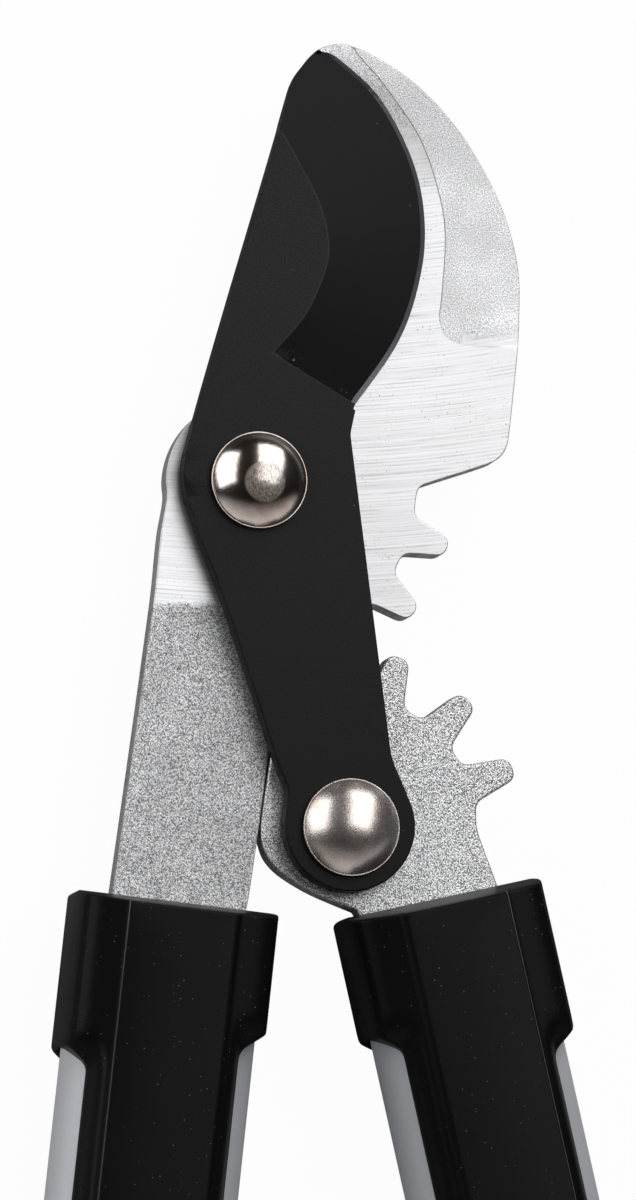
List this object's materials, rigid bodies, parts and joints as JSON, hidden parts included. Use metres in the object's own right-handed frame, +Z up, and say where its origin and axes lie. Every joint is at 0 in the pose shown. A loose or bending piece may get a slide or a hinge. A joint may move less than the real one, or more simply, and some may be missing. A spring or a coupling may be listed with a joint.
{
  "type": "lopper",
  "caption": "Geared bypass lopper: a ground black blade closes past a hooked counter-blade; toothed arms on riveted pivots run into oval tube handles with soft grips.",
  "frame": {"origin": "the middle of the plane that the tool lies on, below the centre of its outline", "axes": "+Z up through the tool's thickness, with the black blade uppermost; +Y along the tool towards the blade; +X towards the toothed side"},
  "size_m": [0.2648, 0.6937, 0.0268],
  "materials": {
    "blade_coating": "fine matte black coating with a bare ground edge",
    "hook_steel": "finely milled above, blasted round the teeth",
    "gear_lever_steel": "blasted, with a fine speckle",
    "rivet_nickel": "polished warm nickel",
    "washer_steel": "plain turned",
    "bush_bronze": "sintered bronze",
    "collar_plastic": "black moulded, satin",
    "tube_aluminium": "light grey satin",
    "core_plastic": "dark moulded",
    "pin_steel": "drawn pin",
    "grip_rubber": "soft matte",
    "cap_plastic": "black moulded, satin"
  },
  "bodies": {
    "blade": {"cutting_blade": "blade_coating", "top_pivot_rivet": "rivet_nickel", "top_pivot_washer": "washer_steel", "bottom_pivot_rivet": "rivet_nickel", "bottom_pivot_washer": "washer_steel"},
    "hook_side": {"hook_arm": "hook_steel", "top_pivot_bush": "bush_bronze", "left_collar": "collar_plastic", "left_tube": "tube_aluminium", "left_tang_core": "core_plastic", "left_upper_tang_pin": "pin_steel", "left_lower_tang_pin": "pin_steel", "left_grip": "grip_rubber", "left_end_cap": "cap_plastic"},
    "lever_side": {"gear_lever": "gear_lever_steel", "bottom_pivot_bush": "bush_bronze", "right_collar": "collar_plastic", "right_tube": "tube_aluminium", "right_tang_core": "core_plastic", "right_upper_tang_pin": "pin_steel", "right_lower_tang_pin": "pin_steel", "right_grip": "grip_rubber", "right_end_cap": "cap_plastic"}
  },
  "joints": [
    {"name": "top_pivot", "type": "hinge", "parent": "blade", "child": "hook_side", "pos_m": [-0.00525, 0.27209, 0.0134], "axis": [0, 0, 1], "range_deg": [-45, 0]},
    {"name": "bottom_pivot", "type": "hinge", "parent": "blade", "child": "lever_side", "pos_m": [0.00705, 0.21337, 0.0134], "axis": [0, 0, 1], "range_deg": [0, 54.7]}
  ],
  "couplings": [
    {"joint": "bottom_pivot", "follows": "top_pivot", "ratio": -1.2143}
  ]
}
